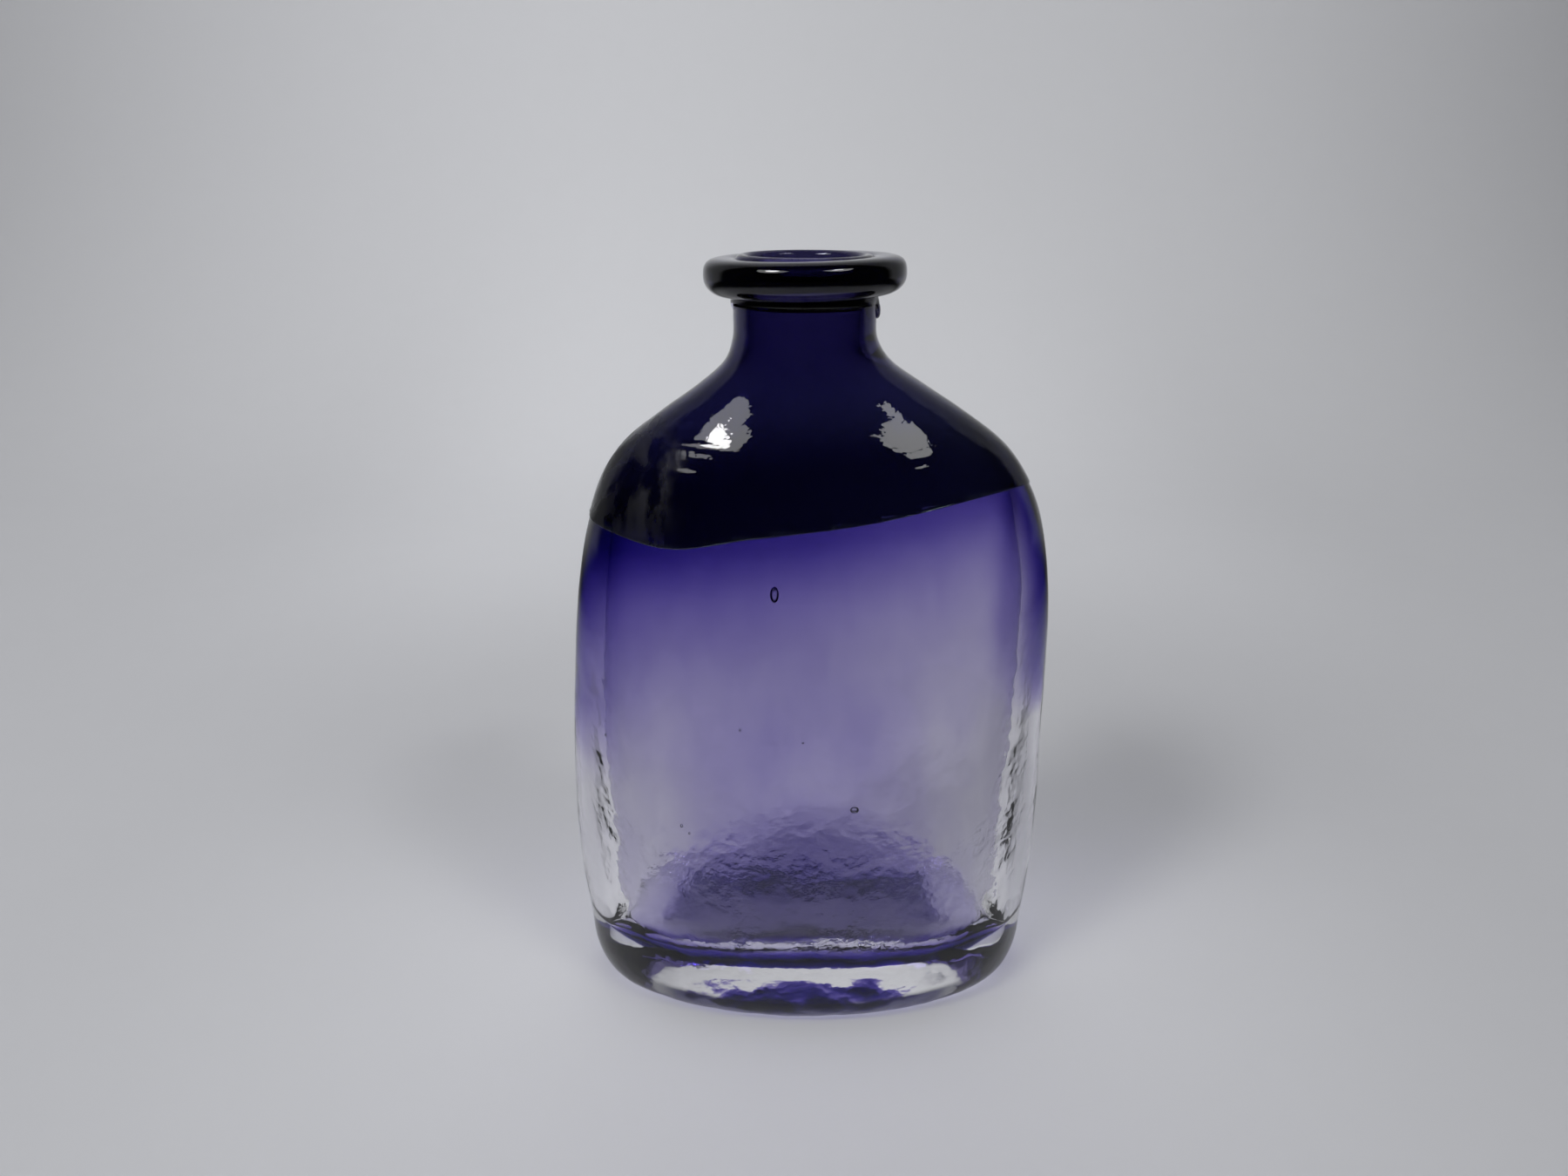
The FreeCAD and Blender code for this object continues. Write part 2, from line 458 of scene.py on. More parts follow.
# where each soft step is 0 and where it is 1
SLOW_SIDES = (0.030, 0.042)
SLOW_EVENS_OUT = (0.060, 0.085)
SLOW_ENDS = (0.112, 0.138)
HAMMERED_SIDES = (0.022, 0.046)
HAMMERED_TOP = (0.036, 0.066)


def slow_weight(place):
    """Slow waves fade at the narrow sides and upwards, and end below the neck."""
    side = rise(abs(place.x), *SLOW_SIDES)
    even = (0.75 - 0.45 * side) * rise(place.z, *SLOW_EVENS_OUT)
    calm = LEFT_CALM if place.x < 0 and place.z < LEFT_CALM_TOP else CALM
    return (1 - calm * side) * (1 - even) * (1 - rise(place.z, *SLOW_ENDS))


def is_inside(place):
    """On the hollow's skin, not on the outside."""
    level = outside_at(max(place.z, HEEL_HEIGHT), HALF_WALL)
    return within(place, level) and place.z > LOWEST_INSIDE


def hammered_weight(place):
    """The hammered ripple is for the lower third: strong in the middle, weak at the sides and inside."""
    side = rise(abs(place.x), *HAMMERED_SIDES)
    skin = HAMMERED_INSIDE if is_inside(place) else 1.0
    left = 1 - 0.40 * side * (place.x < 0)
    return (1 - rise(place.z, *HAMMERED_TOP)) * (0.80 - 0.58 * side) * skin * left


subdivide_smoothly(body, 1)
ripple(body, "slow_waves", SLOW_SIZE, SLOW_DEPTH, slow_weight)
ripple(body, "hammered", HAMMERED_SIZE, HAMMERED_DEPTH, hammered_weight)
print("body faces:", len(body.data.polygons))

# %% [markdown]
# ## Seed bubbles
# Air caught in the glass leaves seed bubbles. Each is a small hollow in the thickness of the front wall: a
# sphere is stretched, its faces are turned inside out so that the glass is on the outside, and it joins
# the body's mesh.

# %% Put the bubbles into the front wall
# sideways place, height, half width, half height
BUBBLES = [
    (-0.0068, 0.0991, 0.00085, 0.00160),
    (0.0091, 0.0538, 0.00090, 0.00075),
    (-0.0415, 0.0647, 0.00030, 0.00035),
    (-0.0136, 0.0713, 0.00022, 0.00035),
    (-0.0013, 0.0690, 0.00025, 0.00020),
    (-0.0259, 0.0482, 0.00030, 0.00045),
    (-0.0243, 0.0467, 0.00025, 0.00030),
]
BUBBLE_DEPTH = 0.0016
BUBBLE_FLATNESS = 0.8


def front_at(sideways, height, depth):
    """A point behind the front skin."""
    level = outside_at(height, depth)
    across = (sideways - level[3]) / level[1]
    return Vector((sideways, -level[2] * math.sqrt(1 - across * across), height))


def seed_bubble(sideways, height, half_width, half_height):
    """One hollow, with its faces turned inside out."""
    clear_selection()
    bpy.ops.mesh.primitive_uv_sphere_add(segments=24, ring_count=14, radius=1.0, location=(0, 0, 0))
    bpy.ops.object.mode_set(mode="EDIT")
    bpy.ops.mesh.select_all(action="SELECT")
    bpy.ops.transform.resize(value=(half_width, half_width * BUBBLE_FLATNESS, half_height))
    bpy.ops.transform.translate(value=front_at(sideways, height, BUBBLE_DEPTH))
    bpy.ops.mesh.flip_normals()
    bpy.ops.object.mode_set(mode="OBJECT")
    bpy.ops.object.shade_smooth()
    return bpy.context.object


hollows = [seed_bubble(*bubble) for bubble in BUBBLES]
clear_selection()
for hollow in hollows:
    hollow.select_set(True)
body.select_set(True)
bpy.context.view_layer.objects.active = body
bpy.ops.object.join()
print("body faces with bubbles:", len(body.data.polygons))

# %% [markdown]
# ## The violet lining
# The violet glass is the first gather, blown thin. How deep its colour looks depends on how thick it is, so
# one list drives both: the depth of colour by height above the overlay's edge. The list is tilted a
# little, because the colour ran down further on the left. Most of the depth is in the lining's thickness
# and the rest is a tint on the body.

# %% Say how thick the lining is
# height above the overlay's edge, depth of colour
VIOLET_DEPTH = [
    (-0.105, 0.03),
    (-0.094, 0.08),
    (-0.080, 0.27),
    (-0.064, 0.41),
    (-0.045, 0.40),
    (-0.023, 0.52),
    (-0.013, 0.88),
    (-0.007, 1.48),
    (-0.003, 2.10),
    (0.001, 2.30),
    (0.007, 1.50),
    (0.015, 1.00),
    (0.032, 0.95),
    (0.050, 0.90),
]
EDGE_MIDDLE = 0.1114
EDGE_TILT = 0.118
TINT_SHARE = 0.18
ABSORPTION = 800.0
DYE = (1.0, 1.14, 0.40)
LINING_INSIDE = -0.00002
# extra lining that paints shade: violet-tinted shade on the floor, a dark band in the front corner, a dark
# wavy line along the floor's back edge and the mountain of shadow behind
FLOOR_PAINTED_SHADE = 0.00052
CORNER_PAINTED_SHADE = 0.0011
MOUNTAIN_PAINTED_SHADOW = 0.00036
BACK_EDGE_PAINTED_SHADE = 0.0016
BACK_EDGE_SHADE_WAVES = (900, 370)
LEAN_REACH = 0.036
PALE_SHARE = 0.92
# on the left and on the right: how fast the colour leans from the middle, how much deeper the upper ends
# are, and how far up the pale lower sides reach
LEAN = (7.0, 12.5)
END_DEPTH = (0.15, 1.9)
PALE_LIFT = (0.004, 0.013)
# where each soft step is 0 and where it is 1: heights in metres and distances from the middle
LOWER_TO_UPPER = (0.045, 0.070)
TO_UPPER_ENDS = (0.062, 0.080)
OUT_TO_ENDS = (0.040, 0.047)
OUT_TO_PALE = (0.012, 0.036)
# the same for the painted shade in the lining: heights above the floor, depths and distances from the middle
FLOOR_SHADE_TOP = (0.003, 0.010)
CORNER_SHADE_START = (0.000, 0.001)
CORNER_SHADE_TOP = (0.003, 0.007)
CORNER_SHADE_FRONT = (-0.012, -0.004)
BACK_EDGE_SHADE_START = (-0.0002, 0.0001)
BACK_EDGE_SHADE_TOP = (0.0003, 0.0008)
BACK_EDGE_SHADE_BACK = (0.006, 0.010)
MOUNTAIN_SHADOW_START = (0.004, 0.010)
MOUNTAIN_SHADOW_ENDS = (0.026, 0.036)
MOUNTAIN_SHADOW_TOP = (0.007, 0.014)


def violet_depth(sideways, height):
    """The depth of colour at a place, from the list."""
    return smooth_between(VIOLET_DEPTH, height - EDGE_MIDDLE - EDGE_TILT * sideways)[0]


def side_share(sideways, height):
    """The colour is deeper on the left than on the right, deep at the upper ends and pale at the lower."""
    side = 0 if sideways < 0 else 1
    reach = min(LEAN_REACH, max(-LEAN_REACH, sideways))
    lean = 1 - LEAN[side] * reach * rise(height, *LOWER_TO_UPPER)
    end = END_DEPTH[side] * rise(abs(sideways), *OUT_TO_ENDS) * rise(height, *TO_UPPER_ENDS)
    lower = 1 - rise(height - PALE_LIFT[side], *LOWER_TO_UPPER)
    pale = PALE_SHARE * rise(abs(sideways), *OUT_TO_PALE) * lower
    return lean + end - pale * lean


def lining_thickness_and_painted_shade(sideways, deep, height):
    """Thin where the colour is pale, and thickened with painted shade on the floor, in the front corner,
    along the floor's back edge and behind the floor's middle.
    """
    above = height - FLOOR_HEIGHT
    # painted shade on the floor, in the front corner and as a dark wavy line along the floor's back edge
    painted_shade = FLOOR_PAINTED_SHADE * (1 - rise(above, *FLOOR_SHADE_TOP))
    corner = rise(above, *CORNER_SHADE_START) * (1 - rise(above, *CORNER_SHADE_TOP))
    painted_shade += CORNER_PAINTED_SHADE * corner * (1 - rise(deep, *CORNER_SHADE_FRONT))
    back_edge_shade = rise(above, *BACK_EDGE_SHADE_START) * (1 - rise(above, *BACK_EDGE_SHADE_TOP))
    uneven = 0.55 + 0.45 * math.sin(sideways * BACK_EDGE_SHADE_WAVES[0]) * math.sin(sideways * BACK_EDGE_SHADE_WAVES[1] + 1)
    painted_shade += BACK_EDGE_PAINTED_SHADE * back_edge_shade * uneven * rise(deep, *BACK_EDGE_SHADE_BACK)
    # painted shadow: the dark mountain where the two lamps' shadows overlap behind the bottle
    behind = rise(deep, *MOUNTAIN_SHADOW_START) * (1 - rise(abs(sideways), *MOUNTAIN_SHADOW_ENDS))
    painted_shade += MOUNTAIN_PAINTED_SHADOW * behind * (1 - rise(above, *MOUNTAIN_SHADOW_TOP))
    depth = violet_depth(sideways, height) * side_share(sideways, height)
    return painted_shade + (1 - TINT_SHARE) * depth / ABSORPTION


print("lining at mid height:", round(lining_thickness_and_painted_shade(0.0, 0.0, HEIGHT / 2), 5))

# %% [markdown]
# ## The lining's shell
# An extruded ring has one thickness all round, but the lining's changes from point to point. Its rings are
# therefore listed point by point, up the outer skin and down the inner one, and skinned with faces.

# %% Make the lining as a thin shell inside the wall


def hollow_levels():
    """The inside's levels from the floor up, each with the slope of its skin (0 upright, 90 level)."""
    levels = list(reversed(inside_levels()))
    sloped = []
    for height, half_width, half_depth, shift in levels:
        drop = min(1.0, max(0.0, (FLOOR_HEIGHT + FLOOR_CORNER - height) / FLOOR_CORNER))
        sloped.append((height, half_width, half_depth, shift, math.asin(drop)))
    return sloped


def lining_ring(level, outer):
    """One ring of points of the lining's outer or inner skin."""
    height, half_width, half_depth, shift, slope = level
    points = []
    for k in range(RING_CORNERS):
        angle = 2 * math.pi * k / RING_CORNERS
        sideways = shift + half_width * math.cos(angle)
        grow = lining_thickness_and_painted_shade(sideways, half_depth * math.sin(angle), height) if outer else LINING_INSIDE
        out = grow * math.cos(slope)
        point = Vector((
            shift + (half_width + out) * math.cos(angle),
            (half_depth + out) * math.sin(angle),
            height - grow * math.sin(slope),
        ))
        if height < CORNER_TOP + FLOOR_CORNER:
            point = squarer(settle(point, shift), shift, squareness(height))
        points.append(point)
    return points


def ringed_shell(name, rings, open_ended):
    """Skin a list of rings. An open-ended shell closes on itself, any other is capped at both ends."""
    mesh = bpy.data.meshes.new(name)
    piece = bpy.data.objects.new(name, mesh)
    bpy.context.collection.objects.link(piece)
    build = bmesh.new()
    rows = [[build.verts.new(point) for point in ring] for ring in rings]
    if open_ended:
        rows.append(rows[0])
    else:
        build.faces.new(rows[0])
        build.faces.new(rows[-1])
    for low, high in zip(rows, rows[1:]):
        for k in range(len(low)):
            after = (k + 1) % len(low)
            build.faces.new((low[k], low[after], high[after], high[k]))
    bmesh.ops.recalc_face_normals(build, faces=build.faces)
    build.to_mesh(mesh)
    build.free()
    for face in mesh.polygons:
        face.use_smooth = True
    return piece


lining_levels = hollow_levels()
lining_rings = [lining_ring(level, True) for level in lining_levels]
lining_rings += [lining_ring(level, False) for level in reversed(lining_levels)]
lining = ringed_shell("violet_lining_glass", lining_rings, False)
print("lining faces:", len(lining.data.polygons))

# %% [markdown]
# ## The dark overlay
# A last thin coat of blue-black glass was laid over the neck and shoulders. Its lower edge slants and is
# rounded off to nothing, so only a fine line of light shows there. The coat's inner skin is sunk a little
# into the body so that no air is left between them. Because the edge slants, its rings aren't level, so they
# are listed point by point like the lining's.

# %% Lay the overlay on the shoulders
OVERLAY_SINK = 0.00045
OVERLAY_ROUNDING = 0.0008
OVERLAY_LIP = 0.00016
OVERLAY_SWELL = 0.012
BACK_SLOPE = 0.31
EDGE_HALF_WIDTH = 0.0466
EDGE_HALF_DEPTH = 0.0235
EDGE_SHIFT = 0.0014
OVERLAY_TOP = RING_BOTTOM + 0.0015
OVERLAY_CORNERS = 320
OVERLAY_ROWS = 96
EDGE_SHARES = [0.0, 0.002, 0.006, 0.013, 0.021, 0.031, 0.042]
FITTING_ROUNDS = 6
CREASE_STARTS = (-0.05, 0.25)
CREASE_ENDS = (0.75, 1.05)
# start, end, height, bend, half width and rise of the fine creases on the front of the shoulders
CREASES = [
    (-0.0335, -0.0125, 0.1256, -0.0012, 0.0006, 0.00016),
    (0.0125, 0.0245, 0.1212, 0.0010, 0.0007, 0.00016),
    (-0.0270, -0.0205, 0.1205, -0.0004, 0.0005, 0.00012),
    (0.0180, 0.0240, 0.1236, 0.0006, 0.0005, 0.00010),
]


def edge_height(sideways, deep):
    """The overlay's lower edge. Behind the front skin it falls away evenly towards the back."""
    across = (sideways - EDGE_SHIFT) / EDGE_HALF_WIDTH
    front = EDGE_HALF_DEPTH * math.sqrt(max(0.0, 1 - across * across))
    return smooth_between(OVERLAY_EDGE, sideways)[0] - BACK_SLOPE * max(0.0, deep + front)


def crease(sideways, height):
    """How far the creases stand out at a place."""
    total = 0.0
    for start, end, level, bend, half_width, lift in CREASES:
        along = (sideways - start) / (end - start)
        ends = rise(along, *CREASE_STARTS) * (1 - rise(along, *CREASE_ENDS))
        middle = level + bend * (2 * along - 1) * abs(2 * along - 1)
        total += lift * ends * math.exp(-(((height - middle) / half_width) ** 2))
    return total


def overlay_ring(share, proud):
    """One ring at a share of the way from the edge up to the lip ring; height and edge settle in rounds."""
    points = []
    for k in range(OVERLAY_CORNERS):
        angle = 2 * math.pi * k / OVERLAY_CORNERS
        height = EDGE_MIDDLE
        for fitting_round in range(FITTING_ROUNDS):
            level = outside_at(height, -proud)
            sideways = level[3] + level[1] * math.cos(angle)
            edge = edge_height(sideways, level[2] * math.sin(angle))
            height = edge + share * (OVERLAY_TOP - edge)
        if proud > 0 and math.sin(angle) < 0:
            lift = crease(sideways, height)
            level = outside_at(height, -proud - lift)
            sideways = level[3] + level[1] * math.cos(angle)
        points.append(Vector((sideways, level[2] * math.sin(angle), height)))
    return points


def overlay_proud(share):
    """How far the overlay stands out: a small rounded lip at its edge, then a slow swell to its thickness."""
    above = share * (OVERLAY_TOP - EDGE_MIDDLE)
    climb = min(1.0, above / OVERLAY_ROUNDING)
    lip = OVERLAY_LIP * math.sqrt(1 - (1 - climb) ** 2)
    return lip + (OVERLAY_THICKNESS - OVERLAY_LIP) * rise(above, 0.0, OVERLAY_SWELL)


overlay_shares = EDGE_SHARES + spaced(EDGE_SHARES[-1], 1.0, (1 - EDGE_SHARES[-1]) / OVERLAY_ROWS)
overlay_rings = [overlay_ring(share, overlay_proud(share)) for share in overlay_shares]
overlay_rings += [overlay_ring(share, -OVERLAY_SINK) for share in reversed(overlay_shares)]
overlay = ringed_shell("shoulder_overlay_glass", overlay_rings, True)
print("overlay faces:", len(overlay.data.polygons))

# %% [markdown]
# ## The lip ring and the neck band
# Both were hot trails of glass wound once round the neck. A circle is set upright beside the neck, scaled
# to the trail's section and spun round the neck's axis. The lip ring went on a degree out of level, and
# the band ends in a small nib where the trail was pulled off.

# %% Spin the two rings
RING_TILT = math.radians(1.1)
RING_SUNK_TO = 0.0118
RING_POWER = 3.2
RING_STEPS = 128
SECTION_CORNERS = 32
ROUND_POWER = 2.0
BAND_SUNK = 0.0006
BAND_IN_RING = 0.001


def spun_ring(name, inner, outer, bottom, top, power):
    """Spin an oval section round the neck. A power over 2 makes the section's upper half squarer."""
    clear_selection()
    bpy.ops.mesh.primitive_circle_add(vertices=SECTION_CORNERS, radius=1.0, location=(0, 0, 0))
    piece = bpy.context.object
    piece.name = name
    bpy.ops.object.mode_set(mode="EDIT")
    bpy.ops.mesh.select_all(action="SELECT")
    bpy.ops.transform.rotate(value=math.radians(90), orient_axis="X", center_override=(0, 0, 0))
    build = bmesh.from_edit_mesh(piece.data)
    for corner in build.verts:
        if corner.co.z > 0:
            corner.co *= (abs(corner.co.x) ** power + corner.co.z ** power) ** (-1 / power)
    bmesh.update_edit_mesh(piece.data)
    bpy.ops.transform.resize(value=((outer - inner) / 2, 1, (top - bottom) / 2))
    bpy.ops.transform.translate(value=(NECK_LEAN + (inner + outer) / 2, 0, (bottom + top) / 2))
    bpy.ops.mesh.spin(
        steps=RING_STEPS, angle=2 * math.pi, center=(NECK_LEAN, 0, 0), axis=(0, 0, 1), use_auto_merge=True
    )
    bpy.ops.mesh.select_all(action="SELECT")
    bpy.ops.mesh.remove_doubles(threshold=1e-6)
    bpy.ops.mesh.normals_make_consistent(inside=False)
    bpy.ops.object.mode_set(mode="OBJECT")
    bpy.ops.object.shade_smooth()
    return piece


ring = spun_ring("lip_ring_glass", RING_SUNK_TO, RING_OUTER_RADIUS, RING_BOTTOM, RING_TOP, RING_POWER)
ring_middle = (NECK_LEAN, 0, (RING_BOTTOM + RING_TOP) / 2)
bpy.ops.object.mode_set(mode="EDIT")
bpy.ops.mesh.select_all(action="SELECT")
bpy.ops.transform.rotate(value=RING_TILT, orient_axis="Y", center_override=ring_middle)
bpy.ops.object.mode_set(mode="OBJECT")

band_outer = NECK_RADIUS + OVERLAY_THICKNESS + BAND_PROUD
band_bottom = RING_BOTTOM - BAND_HEIGHT
band_inner = NECK_RADIUS - BAND_SUNK
band_top = RING_BOTTOM + BAND_IN_RING
band = spun_ring("neck_band_glass", band_inner, band_outer, band_bottom, band_top, ROUND_POWER)

# angle round the neck, spread, how far out and how far down: a nib on the right, a soft bump on the left
BAND_LUMPS = [
    (-5, 6, 0.0006, 0.0024),
    (188, 14, 0.0003, 0.0006),
]
for vertex in band.data.vertices:
    turn = math.degrees(math.atan2(vertex.co.y, vertex.co.x - NECK_LEAN))
    for middle, spread, out, down in BAND_LUMPS:
        away = (turn - middle + 180) % 360 - 180
        share = math.exp(-((away / spread) ** 2))
        vertex.co.x += share * out * math.cos(math.radians(turn))
        vertex.co.y += share * out * math.sin(math.radians(turn))
        vertex.co.z -= share * down
print("ring leans:", [round(v.co.z, 5) for v in ring.data.vertices if abs(v.co.y) < 1e-6][:2])

# %% [markdown]
# ## Node materials in short calls
# Every glass here is a small node graph that reads the object's own coordinates, so its colour and its
# ripples stay on the piece. A few helpers place and link the nodes: a product, a soft step, a blend of two
# colours, soft noise and a bump. The same could be wired by hand in the shader editor.

# %% Link values and reckon with them


def put(tree, value, socket):
    """Give a socket a plain value or a link."""
    if isinstance(value, bpy.types.NodeSocket):
        tree.links.new(value, socket)
    else:
        socket.default_value = value


def reckon(tree, operation, *values):
    """One step of arithmetic."""
    step = tree.nodes.new("ShaderNodeMath")
    step.operation = operation
    for value, socket in zip(values, step.inputs):
        put(tree, value, socket)
    return step.outputs[0]


def product(tree, *values):
    """All the values multiplied."""
    total = values[0]
    for value in values[1:]:
        total = reckon(tree, "MULTIPLY", total, value)
    return total


def scaled(tree, value, factor, offset):
    """A value times a factor, plus an offset."""
    return reckon(tree, "MULTIPLY_ADD", value, factor, offset)


def soft_step(tree, value, start, end):
    """0 at the start, 1 at the end and a soft step between; the start may be the higher of the two."""
    step = tree.nodes.new("ShaderNodeMapRange")
    step.interpolation_type = "SMOOTHSTEP"
    step.inputs["From Min"].default_value = start
    step.inputs["From Max"].default_value = end
    put(tree, value, step.inputs["Value"])
    return step.outputs["Result"]


def blend(tree, share, first, second):
    """A share of the way from the first colour to the second."""
    mix = tree.nodes.new("ShaderNodeMix")
    mix.data_type = "RGBA"
    mix.clamp_factor = False
    put(tree, share, mix.inputs[0])
    put(tree, first, mix.inputs[6])
    put(tree, second, mix.inputs[7])
    return mix.outputs[2]


print("materials so far:", len(bpy.data.materials))

# %% Read an object's coordinates and make soft noise


def object_place(tree):
    """The object's own coordinates."""
    return tree.nodes.new("ShaderNodeTexCoord").outputs["Object"]


def parts_of(tree, place):
    """A place's three parts: across, deep and up."""
    split = tree.nodes.new("ShaderNodeSeparateXYZ")
    tree.links.new(place, split.inputs[0])
    return split.outputs["X"], split.outputs["Y"], split.outputs["Z"]


def clouds(tree, place, size, stretch=(1, 1, 1), detail=2.0):
    """Soft noise whose lumps are about a size across."""
    fit = tree.nodes.new("ShaderNodeMapping")
    fit.inputs["Scale"].default_value = [1 / (size * s) for s in stretch]
    put(tree, place, fit.inputs["Vector"])
    noise = tree.nodes.new("ShaderNodeTexNoise")
    noise.inputs["Scale"].default_value = 1.0
    noise.inputs["Detail"].default_value = detail
    tree.links.new(fit.outputs[0], noise.inputs["Vector"])
    return noise.outputs["Fac"]


def bumped(tree, height, distance):
    """A normal that is tilted by a height, as if it stood out by a distance."""
    bump = tree.nodes.new("ShaderNodeBump")
    bump.inputs["Distance"].default_value = distance
    bump.inputs["Strength"].default_value = 1.0
    put(tree, height, bump.inputs["Height"])
    return bump.outputs["Normal"]


print("noise textures so far:", len(bpy.data.textures))

# %% [markdown]
# ## Groups for what two materials share
# The same glass comes twice on a piece, once against air and once melted into its neighbour. Both have the
# same colour and ripples, so those are a node group with named sockets that is built once and placed in both
# materials. The glass shader itself stays outside the group, where each material sets how it bends light.

# %% Start a material, a group or a glass
AIR_TO_GLASS = 1.5
GLASS_TO_GLASS = 1.0


def new_material(name):
    """An empty node material and its tree."""
    material = bpy.data.materials.new(name)
    material.use_nodes = True
    tree = material.node_tree
    tree.nodes.clear()
    return material, tree


def new_group(name, inputs, outputs):
    """A node group with named sockets: its tree, what it is given and where its results go."""
    tree = bpy.data.node_groups.new(name, "ShaderNodeTree")
    for way, sockets in (("INPUT", inputs), ("OUTPUT", outputs)):
        for socket, kind in sockets.items():
            tree.interface.new_socket(name=socket, in_out=way, socket_type="NodeSocket" + kind)
    given = tree.nodes.new("NodeGroupInput")
    result = tree.nodes.new("NodeGroupOutput")
    return tree, given.outputs, result.inputs


def use_group(tree, group, **values):
    """Place a group in a material, on the object's own coordinates and with its own values."""
    node = tree.nodes.new("ShaderNodeGroup")
    node.node_tree = group
    put(tree, object_place(tree), node.inputs["Place"])
    for name, value in values.items():
        put(tree, value, node.inputs[name])
    return node.outputs


def glass_surface(tree, colour, roughness, normal, shade, refraction):
    """Glass that bends light. With a shade, light on its way to the paper is dimmed by that colour."""
    glass = tree.nodes.new("ShaderNodeBsdfPrincipled")
    glass.inputs["Transmission Weight"].default_value = 1
    glass.inputs["IOR"].default_value = refraction
    put(tree, colour, glass.inputs["Base Color"])
    put(tree, roughness, glass.inputs["Roughness"])
    if normal is not None:
        put(tree, normal, glass.inputs["Normal"])
    out = tree.nodes.new("ShaderNodeOutputMaterial")
    if shade is None:
        tree.links.new(glass.outputs[0], out.inputs["Surface"])
        return out
    path = tree.nodes.new("ShaderNodeLightPath")
    clear = tree.nodes.new("ShaderNodeBsdfTransparent")
    put(tree, shade, clear.inputs["Color"])
    mix = tree.nodes.new("ShaderNodeMixShader")
    tree.links.new(path.outputs["Is Shadow Ray"], mix.inputs[0])
    tree.links.new(glass.outputs[0], mix.inputs[1])
    tree.links.new(clear.outputs[0], mix.inputs[2])
    tree.links.new(mix.outputs[0], out.inputs["Surface"])
    return out


print("node groups so far:", len(bpy.data.node_groups))

# %% [markdown]
# ## The clear glass
# Clear glass bends light and has no colour of its own, but in the upper body the violet has bled into it: a
# ramp by height above the overlay's edge gives it a share of the lining's tint. The heel's lower front gets a
# painted shade of dark indigo, which stands for the shadowed paper under and behind the base that shows
# through the heel.

# %% Tint the body by height


def above_edge(tree, across, up):
    """The height above the overlay's slanting edge."""
    return reckon(tree, "SUBTRACT", up, scaled(tree, across, EDGE_TILT, EDGE_MIDDLE))


def tint_of(depth):
    """The colour that the body's share of a depth of violet leaves of white light."""
    return [math.exp(-TINT_SHARE * depth * dye) for dye in DYE] + [1.0]


def violet_ramp(tree, across, up):
    """The body's tint by height above the overlay's edge."""
    low, high = VIOLET_DEPTH[0][0], VIOLET_DEPTH[-1][0]
    share = tree.nodes.new("ShaderNodeMapRange")
    share.inputs["From Min"].default_value = low
    share.inputs["From Max"].default_value = high
    put(tree, above_edge(tree, across, up), share.inputs["Value"])
    ramp = tree.nodes.new("ShaderNodeValToRGB")
    stops = ramp.color_ramp.elements
    while len(stops) < len(VIOLET_DEPTH):
        stops.new(0.5)
    for stop, (height, depth) in zip(stops, VIOLET_DEPTH):
        stop.position = (height - low) / (high - low)
        stop.color = tint_of(depth)
    tree.links.new(share.outputs[0], ramp.inputs[0])
    return ramp.outputs[0]


print("deepest tint on the body:", [round(part, 2) for part in tint_of(max(row[1] for row in VIOLET_DEPTH))])

# %% [markdown]
# ## The skin of the body
# The hammered lower body is too fine for the mesh alone, so a bump adds pebbles in patches there and slow
# waves up to the shoulders. Light that crosses the glass to make its shadow is dimmed by a plain factor at
# each skin, because a renderer can't focus it well.

# %% Make the body's glass
WALL_SHADE = (0.80, 0.80, 0.82, 1)
BASE_SHADE = (0.71, 0.71, 0.79, 1)
# painted shade on the heel's lower front, for the shadowed paper under the base that shows through it
HEEL_PAINTED_SHADE = (0.011, 0.010, 0.040, 1)
HEEL_SHADE_AT_ENDS = 0.25
BODY_BUMP = 0.00026
PEBBLE_SIZE = 0.0022
PATCH_SIZE = 0.011
WAVE_SIZE = 0.0060
WAVE_SHARE = 0.5
FRONT_HEEL_SHARE = 0.25
# where each soft step is 0 and where it is 1: heights, depths and distances from the middle in metres
HEEL_SHADE_TOP = (0.0078, 0.0060)
HEEL_SHADE_FOOT = (0.0006, 0.0012)
HEEL_SHADE_FRONT = (0.004, -0.004)
HEEL_SHADE_ENDS = (0.042, 0.028)
PEBBLES_TOP = (0.070, 0.038)
PEBBLES_FOOT = (0.011, 0.022)
PEBBLES_ENDS = (0.040, 0.026)
PATCH_EDGE = (0.42, 0.62)
FRONT_HEEL_TOP = (0.0135, 0.0115)
FRONT_HEEL_DEPTH = (-0.010, -0.016)
WAVES_TOP = (0.105, 0.070)
BASE_TO_WALL = (0.010, 0.016)


